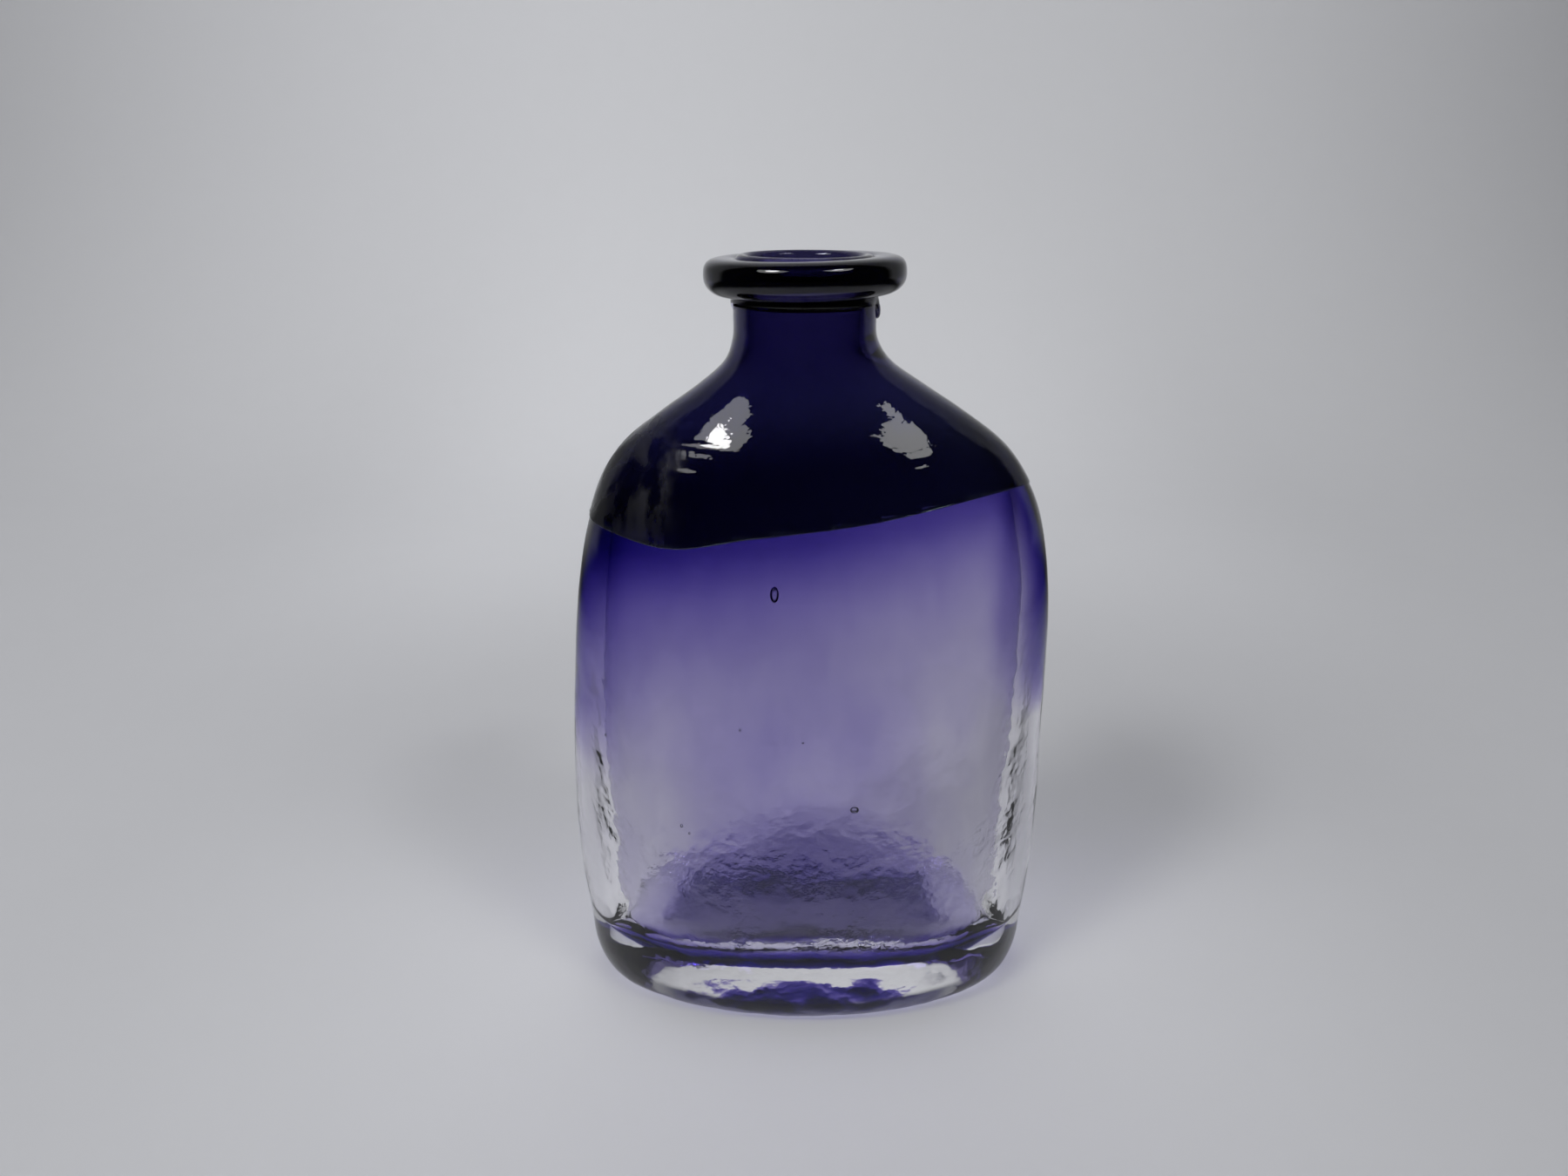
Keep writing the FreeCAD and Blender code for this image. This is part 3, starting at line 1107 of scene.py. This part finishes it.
def body_skin():
    """Group: the body's tint with the painted shade on its heel, and the height of its pebbles and waves."""
    tree, given, result = new_group("body_skin", {"Place": "Vector"}, {"Tint": "Color", "Ripple": "Float"})
    place = given["Place"]
    across, deep, up = parts_of(tree, place)
    aside = reckon(tree, "ABSOLUTE", across)
    # painted shade on the heel's lower front, weaker towards its ends
    ends = scaled(tree, soft_step(tree, aside, *HEEL_SHADE_ENDS), 1 - HEEL_SHADE_AT_ENDS, HEEL_SHADE_AT_ENDS)
    heel = product(tree, soft_step(tree, up, *HEEL_SHADE_TOP), soft_step(tree, up, *HEEL_SHADE_FOOT))
    heel = product(tree, heel, soft_step(tree, deep, *HEEL_SHADE_FRONT), ends)
    put(tree, blend(tree, heel, violet_ramp(tree, across, up), HEEL_PAINTED_SHADE), result["Tint"])

    patches = scaled(tree, soft_step(tree, clouds(tree, place, PATCH_SIZE), *PATCH_EDGE), 0.95, 0.30)
    middle = scaled(tree, soft_step(tree, aside, *PEBBLES_ENDS), 0.85, 0.15)
    pebbles = product(tree, soft_step(tree, up, *PEBBLES_TOP), soft_step(tree, up, *PEBBLES_FOOT))
    pebbles = product(tree, pebbles, product(tree, patches, middle))
    front = product(tree, soft_step(tree, up, *FRONT_HEEL_TOP), soft_step(tree, deep, *FRONT_HEEL_DEPTH))
    pebbles = scaled(tree, front, FRONT_HEEL_SHARE, pebbles)
    pebbles = product(tree, clouds(tree, place, PEBBLE_SIZE, detail=3.0), pebbles)
    waves = product(tree, clouds(tree, place, WAVE_SIZE), soft_step(tree, up, *WAVES_TOP))
    put(tree, scaled(tree, waves, WAVE_SHARE, pebbles), result["Ripple"])
    return tree


def body_glass(name, skin, refraction):
    """The body's glass: its skin, and a shade that is deeper for the base than for the wall."""
    material, tree = new_material(name)
    looks = use_group(tree, skin)
    across, deep, up = parts_of(tree, object_place(tree))
    shade = blend(tree, soft_step(tree, up, *BASE_TO_WALL), BASE_SHADE, WALL_SHADE)
    glass_surface(tree, looks["Tint"], 0.0, bumped(tree, looks["Ripple"], BODY_BUMP), shade, refraction)
    return material


clear_skin = body_skin()
body_pair = [
    body_glass("violet_to_clear_glass", clear_skin, AIR_TO_GLASS),
    body_glass("violet_to_clear_glass_fused", clear_skin, GLASS_TO_GLASS),
]
print("nodes in the body's skin:", len(clear_skin.nodes))

# %% [markdown]
# ## The violet glass
# The lining is solid colour: its surfaces bend nothing, because they are melted into the clear glass, and
# its inside swallows red and green faster than blue. Thick places are therefore deep violet and thin ones
# almost clear. Faint upright streaks are left from the blowing.

# %% Make the lining's glass
LINING_SHADE = (0.97, 1.0, 0.885, 1)
STREAK_TINT = (0.93, 0.92, 0.975, 1)
NO_TINT = (1, 1, 1, 1)
STREAK_SIZE = 0.010
STREAK_STRETCH = (1.0, 1.0, 2.2)
STREAK_EDGE = (0.35, 0.65)
DENSITY_OVER_DYE = 1.1


def lining_glass():
    """Violet through and through. A density over the strongest dye keeps each part of its colour above 0."""
    material, tree = new_material("violet_lining_glass")
    streaks = clouds(tree, object_place(tree), STREAK_SIZE, STREAK_STRETCH, 3.0)
    colour = blend(tree, soft_step(tree, streaks, *STREAK_EDGE), STREAK_TINT, NO_TINT)
    out = glass_surface(tree, colour, 0.0, None, LINING_SHADE, GLASS_TO_GLASS)
    dye = tree.nodes.new("ShaderNodeVolumeAbsorption")
    density = ABSORPTION * max(DYE) * DENSITY_OVER_DYE
    dye.inputs["Density"].default_value = density
    dye.inputs["Color"].default_value = [1 - ABSORPTION * part / density for part in DYE] + [1.0]
    tree.links.new(dye.outputs[0], out.inputs["Volume"])
    return material


violet_glass = lining_glass()
print("nodes in the lining's glass:", len(violet_glass.node_tree.nodes))

# %% [markdown]
# ## The overlay's dark glass
# The overlay is nearly black by itself and shows violet only against the light. The left shoulder has gone
# dull in patches, which spreads the lamp's reflection into a grey haze. The band under the lip is a paler
# trail of the same glass, so it has the same skin with more paleness.

# %% Make the overlay's and the band's glass
EDGE_BLACK = (0.27, 0.33, 0.31, 1)
SHOULDER_BLACK = (0.32, 0.36, 0.44, 1)
NECK_BLACK = (0.33, 0.33, 0.46, 1)
PALE_VIOLET = (0.85, 0.85, 0.95, 1)
BAND_PALENESS = 0.8
OVERLAY_BUMP = 0.00011
PULL_SIZE = 0.0045
FINE_PULL_SIZE = 0.0014
FINE_PULL_STRETCH = (2.0, 1.0, 1.0)
FINE_PULL_SHARE = 0.22
HAZE_SIZE = 0.006
HAZE_STRETCH = (0.8, 0.8, 1.8)
HAZE_ROUGHNESS = 0.50
# where each soft step is 0 and where it is 1
EDGE_TO_SHOULDER = (0.008, 0.020)
SHOULDER_TO_NECK = (0.131, 0.146)
PULLS_TOP = (0.141, 0.130)
HAZE_RIGHT = (-0.020, -0.034)
HAZE_TOP = (0.134, 0.126)
HAZE_EDGE = (0.32, 0.60)


def pulled_skin():
    """Group: the overlay's tint, the dull haze of its left shoulder and the height of its pulled streaks."""
    results = {"Tint": "Color", "Haze": "Float", "Ripple": "Float"}
    tree, given, result = new_group("pulled_skin", {"Place": "Vector", "Paleness": "Float"}, results)
    place = given["Place"]
    across, deep, up = parts_of(tree, place)
    from_edge = soft_step(tree, above_edge(tree, across, up), *EDGE_TO_SHOULDER)
    colour = blend(tree, from_edge, EDGE_BLACK, SHOULDER_BLACK)
    colour = blend(tree, soft_step(tree, up, *SHOULDER_TO_NECK), colour, NECK_BLACK)
    put(tree, blend(tree, given["Paleness"], colour, PALE_VIOLET), result["Tint"])

    fine = clouds(tree, place, FINE_PULL_SIZE, FINE_PULL_STRETCH, 2.0)
    pulls = scaled(tree, fine, FINE_PULL_SHARE, clouds(tree, place, PULL_SIZE, detail=3.0))
    put(tree, product(tree, pulls, soft_step(tree, up, *PULLS_TOP)), result["Ripple"])

    left = product(tree, soft_step(tree, across, *HAZE_RIGHT), soft_step(tree, up, *HAZE_TOP))
    haze = soft_step(tree, clouds(tree, place, HAZE_SIZE, HAZE_STRETCH, 5.0), *HAZE_EDGE)
    put(tree, product(tree, haze, left, HAZE_ROUGHNESS), result["Haze"])
    return tree


def overlay_glass(name, skin, refraction, paleness):
    """Dark glass with a pulled skin that has gone dull in places."""
    material, tree = new_material(name)
    looks = use_group(tree, skin, Paleness=paleness)
    normal = bumped(tree, looks["Ripple"], OVERLAY_BUMP)
    glass_surface(tree, looks["Tint"], looks["Haze"], normal, None, refraction)
    return material


dark_skin = pulled_skin()
overlay_pair = [
    overlay_glass("blue_black_overlay", dark_skin, AIR_TO_GLASS, 0.0),
    overlay_glass("blue_black_overlay_fused", dark_skin, GLASS_TO_GLASS, 0.0),
]
band_pair = [
    overlay_glass("blue_black_band", dark_skin, AIR_TO_GLASS, BAND_PALENESS),
    overlay_glass("blue_black_band_fused", dark_skin, GLASS_TO_GLASS, BAND_PALENESS),
]
print("nodes in the overlay's skin:", len(dark_skin.nodes))

# %% [markdown]
# ## The ring's dark glass
# The lip ring is the thickest trail and lets hardly any light through. Winding it on drew the glass out
# round the neck, so its faint streaks are long round the ring and short up it.

# %% Make the ring's glass
RING_BLACK = (0.025, 0.022, 0.07, 1)
RING_VIOLET = (0.04, 0.036, 0.11, 1)
RING_BUMP = 0.00005
WOUND_SIZE = 0.004
WOUND_STRETCH = (2, 2, 0.5)


def wound_skin():
    """Group: the ring's tint and the height of its wound streaks."""
    tree, given, result = new_group("wound_skin", {"Place": "Vector"}, {"Tint": "Color", "Ripple": "Float"})
    streaks = clouds(tree, given["Place"], WOUND_SIZE, WOUND_STRETCH)
    put(tree, blend(tree, streaks, RING_BLACK, RING_VIOLET), result["Tint"])
    put(tree, streaks, result["Ripple"])
    return tree


def ring_glass(name, skin, refraction):
    """Almost black glass with wound streaks."""
    material, tree = new_material(name)
    looks = use_group(tree, skin)
    glass_surface(tree, looks["Tint"], 0.0, bumped(tree, looks["Ripple"], RING_BUMP), None, refraction)
    return material


ring_skin = wound_skin()
ring_pair = [
    ring_glass("blue_black_ring", ring_skin, AIR_TO_GLASS),
    ring_glass("blue_black_ring_fused", ring_skin, GLASS_TO_GLASS),
]
print("nodes in the ring's skin:", len(ring_skin.nodes))

# %% [markdown]
# ## Dressing the pieces
# Where hot glass is laid on hot glass no air is left between, so light doesn't bounce there. Each dark glass
# and the body therefore come in a pair: one for faces in air, and one that doesn't bend light for the faces
# that are melted into another piece. Each piece then takes the place of its solid.

# %% Dress the pieces


def dress(piece, glass, slot, *replaced):
    """Give a piece its glass and let it take the place of its solid."""
    piece.data.materials.clear()
    for material in glass:
        piece.data.materials.append(material)
    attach(piece, "root")
    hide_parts(*replaced)


dress(body, body_pair, "clear_glass", "clear_casing")
dress(lining, [violet_glass], "violet_glass", "violet_lining")
dress(overlay, overlay_pair, "blue_black_glass", "shoulder_overlay")
dress(ring, ring_pair, "blue_black_glass", "lip_ring")
dress(band, band_pair, "blue_black_glass", "neck_band")
print("materials:", [material.name for material in bpy.data.materials])

# %% [markdown]
# ## The melted faces
# A face is melted in when it lies under another layer or inside another piece. By hand one would select
# these faces and assign the second material; here each face's place says whether it is one of them.

# %% Mark the melted faces
UNDER_EDGE = 0.0006
UNDER_COAT = NECK_WALL * 0.4
TOUCHING = 0.00002
OVERLAY_UNDER_BAND = 0.0003
BAND_FOOT = 0.0007
NIB_START = NECK_LEAN + NECK_RADIUS * 0.9


def mark_fused(piece, is_fused):
    """Give the faces that are melted into another glass the second material."""
    count = 0
    for face in piece.data.polygons:
        if is_fused(face.center):
            face.material_index = 1
            count += 1
    print(piece.name, "fused faces:", count)


def under_overlay(place):
    """On the body's skin and covered by the overlay or the lip ring."""
    if place.z < edge_height(place.x, place.y) + UNDER_EDGE or place.z > RING_TOP - UNDER_EDGE:
        return False
    return not within(place, outside_at(place.z, UNDER_COAT))


def sunk_in_body(place):
    """Inside the body's own skin."""
    return within(place, outside_at(place.z, -TOUCHING))


def overlay_melted(place):
    """Sunk in the body or covered by the band."""
    return sunk_in_body(place) or place.z > band_bottom + OVERLAY_UNDER_BAND


def band_melted(place):
    """Sunk in the body, or at the band's foot, where only the nib stands free."""
    at_foot = place.z < band_bottom + BAND_FOOT and place.x < NIB_START
    return sunk_in_body(place) or at_foot


mark_fused(body, under_overlay)
mark_fused(overlay, overlay_melted)
mark_fused(ring, sunk_in_body)
mark_fused(band, band_melted)

# %% [markdown]
# ## The photo's view
# The picture was taken from close by with a wide lens, a little above the shoulders and looking down. The
# camera's place and tilt come from the mouth's ellipse and the base's outline.

# %% Set up the camera
CAMERA_PLACE = (-0.00503, -0.2349, 0.1752)
CAMERA_PITCH = math.radians(19.545)
FOCAL_PIXELS = 1353
IMAGE_WIDTH = 1800
SENSOR_WIDTH = 36.0
NEAREST = 0.01
view = bpy.data.cameras.new("photo_view")
view.sensor_width = SENSOR_WIDTH
view.sensor_fit = "HORIZONTAL"
view.lens = SENSOR_WIDTH * FOCAL_PIXELS / IMAGE_WIDTH
view.clip_start = NEAREST
camera = bpy.data.objects.new("photo_view", view)
camera.location = CAMERA_PLACE
camera.rotation_euler = (math.radians(90) - CAMERA_PITCH, 0, 0)
bpy.context.collection.objects.link(camera)
bpy.context.scene.camera = camera
bpy.context.scene.view_settings.view_transform = "Standard"
print("lens in millimetres:", round(view.lens, 2))

# %% [markdown]
# ## The paper tent
# The bottle stands in a closed tent of pale paper, as small things are often photographed: the floor curves
# up behind it without an edge, and the paper all round sends soft light back. It is one sheet that is
# extruded round a quarter turn in small steps and then straight up. The sheet's far edge draws the backdrop,
# its other edges draw the front and the sides, and the sheet itself ends as the ceiling above the lamps.

# %% Pull up the tent
SHEET_SIZE = 2.4
SHEET_FORWARD = 0.8
SWEEP_RADIUS = 0.45
SWEEP_STEPS = 16
WALL_HEIGHT = 0.9
FLOOR_GAP = 0.00005


def paper_tent():
    """A closed tent whose floor curves up into a backdrop."""
    clear_selection()
    bpy.ops.mesh.primitive_plane_add(size=SHEET_SIZE, location=(0, 0, 0))
    tent = bpy.context.object
    tent.name = "pale_sweep"
    bpy.ops.object.mode_set(mode="EDIT")
    bpy.ops.mesh.select_all(action="SELECT")
    bpy.ops.transform.translate(value=(0, -SHEET_FORWARD, -FLOOR_GAP))
    angles = quarter_turn(SWEEP_STEPS)
    for start, end in zip(angles, angles[1:]):
        back = SWEEP_RADIUS * (math.sin(end) - math.sin(start))
        lift = SWEEP_RADIUS * (math.cos(start) - math.cos(end))
        bpy.ops.mesh.extrude_region_move(TRANSFORM_OT_translate={"value": (0, back, lift)})
    bpy.ops.mesh.extrude_region_move(TRANSFORM_OT_translate={"value": (0, 0, WALL_HEIGHT)})
    bpy.ops.mesh.select_all(action="SELECT")
    bpy.ops.mesh.normals_make_consistent(inside=False)
    bpy.ops.object.mode_set(mode="OBJECT")
    bpy.ops.object.shade_smooth()
    return tent


tent = paper_tent()
print("faces in the tent:", len(tent.data.polygons))

# %% [markdown]
# ## The paper's light and shade
# Light and shade are painted into the paper's colour: it is a little brighter near the bottle and behind it
# and falls off to the right and to its edges. In mirror reflections the tent's front and sides are painted
# dark, as the room around the table was, so the glass keeps its dark rims. A faint glow on the backdrop
# stands for the light that comes back from the room.

# %% Make the paper
PAPER = (0.735, 0.74, 0.760, 1)
PAPER_GRAIN = (0.745, 0.75, 0.770, 1)
GRAIN_SIZE = 0.02
BLACK = (0, 0, 0, 1)
# painted dark reflection: the colour the outer paper takes where the glass mirrors it
PAINTED_DARK_REFLECTION = (0.02, 0.02, 0.02, 1)
GLOW = (0.97, 0.98, 1.0, 1)
GLOW_STRENGTH = 0.11
PAPER_ROUGHNESS = 0.9
# where each soft step is 0 and where it is 1: distances from the bottle in metres
NEAR_TO_FAR = (0.03, 0.20)
LEFT_TO_RIGHT = (-0.20, 0.20)
MIDDLE_TO_EDGE = (0.20, 0.80)
BEHIND_START = (0.12, 0.32)
BEHIND_END = (0.85, 0.45)
BEHIND_SIDES = (0.30, 0.12)
MIRROR_DARK_START = (0.20, 0.42)
MIRROR_DARK_END = (0.55, 0.25)
GLOW_START = (0.10, 0.75)


def painted_light_on_paper(tree, away, across, deep):
    """How much painted light and shade each place of the paper's colour gets."""
    aside = reckon(tree, "ABSOLUTE", across)
    fall = scaled(tree, soft_step(tree, away, *NEAR_TO_FAR), -0.21, 1.14)
    tilt = scaled(tree, soft_step(tree, across, *LEFT_TO_RIGHT), -0.11, 1.055)
    edge = scaled(tree, soft_step(tree, aside, *MIDDLE_TO_EDGE), -0.22, 1.0)
    behind = product(tree, soft_step(tree, deep, *BEHIND_START), soft_step(tree, deep, *BEHIND_END))
    behind = product(tree, behind, soft_step(tree, aside, *BEHIND_SIDES))
    return product(tree, fall, tilt, edge, scaled(tree, behind, 0.18, 1.0))


def backdrop_glow(tree, across, deep):
    """How much each place glows: more behind the bottle and a little more on the left."""
    aside = reckon(tree, "ABSOLUTE", across)
    side = product(tree, reckon(tree, "POWER", aside, 2.0), -2.0)
    side = reckon(tree, "ADD", scaled(tree, across, -0.20, side), 1.0)
    return product(tree, soft_step(tree, deep, *GLOW_START), reckon(tree, "MAXIMUM", side, 0.0))


def mirror_dark(tree, away, deep):
    """1 where a mirror reflection meets the outer paper. Light that is bent through glass isn't dimmed."""
    path = tree.nodes.new("ShaderNodeLightPath")
    mirrored = reckon(tree, "SUBTRACT", path.outputs["Is Glossy Ray"], path.outputs["Is Transmission Ray"])
    outer = product(tree, soft_step(tree, away, *MIRROR_DARK_START), soft_step(tree, deep, *MIRROR_DARK_END))
    return product(tree, outer, reckon(tree, "MAXIMUM", mirrored, 0.0))


def pale_paper():
    """Matt paper with soft light and shade."""
    material, tree = new_material("pale_paper")
    place = object_place(tree)
    across, deep, up = parts_of(tree, place)
    length = tree.nodes.new("ShaderNodeVectorMath")
    length.operation = "LENGTH"
    tree.links.new(place, length.inputs[0])
    away = length.outputs["Value"]
    paper = blend(tree, clouds(tree, place, GRAIN_SIZE), PAPER, PAPER_GRAIN)
    # painted light and shade in the paper's colour
    paper = blend(tree, painted_light_on_paper(tree, away, across, deep), BLACK, paper)
    # painted dark reflection: the outer paper turns dark where the glass mirrors it
    paper = blend(tree, mirror_dark(tree, away, deep), paper, PAINTED_DARK_REFLECTION)
    sheet = tree.nodes.new("ShaderNodeBsdfPrincipled")
    put(tree, paper, sheet.inputs["Base Color"])
    put(tree, PAPER_ROUGHNESS, sheet.inputs["Roughness"])
    put(tree, 0.0, sheet.inputs["Specular IOR Level"])
    put(tree, blend(tree, backdrop_glow(tree, across, deep), BLACK, GLOW), sheet.inputs["Emission Color"])
    put(tree, GLOW_STRENGTH, sheet.inputs["Emission Strength"])
    out = tree.nodes.new("ShaderNodeOutputMaterial")
    tree.links.new(sheet.outputs[0], out.inputs["Surface"])
    return material


paper = pale_paper()
tent.data.materials.append(paper)
print("nodes in the paper:", len(paper.node_tree.nodes))

# %% [markdown]
# ## Two soft lamps
# The shoulders show two highlights and the paper two shadows, so there were two lamps in front, left and
# right, about as high as they were far. Each is a bright round core in a wider, dimmer shade, which gives
# the highlights their white middles and grey rims.

# %% Hang the lamps
LAMP_AIM = Vector((0, 0, 0.09))
LAMP_DISTANCE = 1.60
CORE_SIZE = 0.352
SHADE_SIZE = 0.86
SHADE_BEHIND_CORE = 0.01
# name, azimuth, elevation, radiance of the core, radiance of the shade
LAMPS = [
    ("left", -47, 48, 21.5, 3.3),
    ("right", 45.6, 53, 20.0, 4.1),
]


def soft_lamp(name, azimuth, elevation, distance, size, radiance):
    """A round lamp that is aimed at the bottle; its brightness doesn't depend on its size."""
    lamp = bpy.data.lights.new(name, "AREA")
    lamp.shape = "DISK"
    lamp.size = size
    lamp.energy = radiance * math.pi * math.pi * (size / 2) ** 2
    holder = bpy.data.objects.new(name, lamp)
    turn, climb = math.radians(azimuth), math.radians(elevation)
    level = math.cos(climb)
    direction = Vector((math.sin(turn) * level, -math.cos(turn) * level, math.sin(climb)))
    holder.location = LAMP_AIM + distance * direction
    holder.rotation_euler = (LAMP_AIM - holder.location).to_track_quat("-Z", "Y").to_euler()
    bpy.context.collection.objects.link(holder)
    print(name, "watts:", round(lamp.energy, 2))


for side, azimuth, elevation, core, shade in LAMPS:
    soft_lamp(side + "_lamp", azimuth, elevation, LAMP_DISTANCE, CORE_SIZE, core)
    soft_lamp(side + "_shade", azimuth, elevation, LAMP_DISTANCE + SHADE_BEHIND_CORE, SHADE_SIZE, shade)

# %% [markdown]
# ## The dim room
# The tent is closed, so nothing of the room beyond it shows. It is left almost dark, which keeps the picture
# to the lamps and the paper.

# %% Dim the room
ROOM_COLOUR = (0.9, 0.92, 1.0, 1)
ROOM_STRENGTH = 0.025
world = bpy.data.worlds.new("dim_room")
bpy.context.scene.world = world
world.use_nodes = True
background = world.node_tree.nodes["Background"]
background.inputs["Color"].default_value = ROOM_COLOUR
background.inputs["Strength"].default_value = ROOM_STRENGTH
print("room strength:", ROOM_STRENGTH)
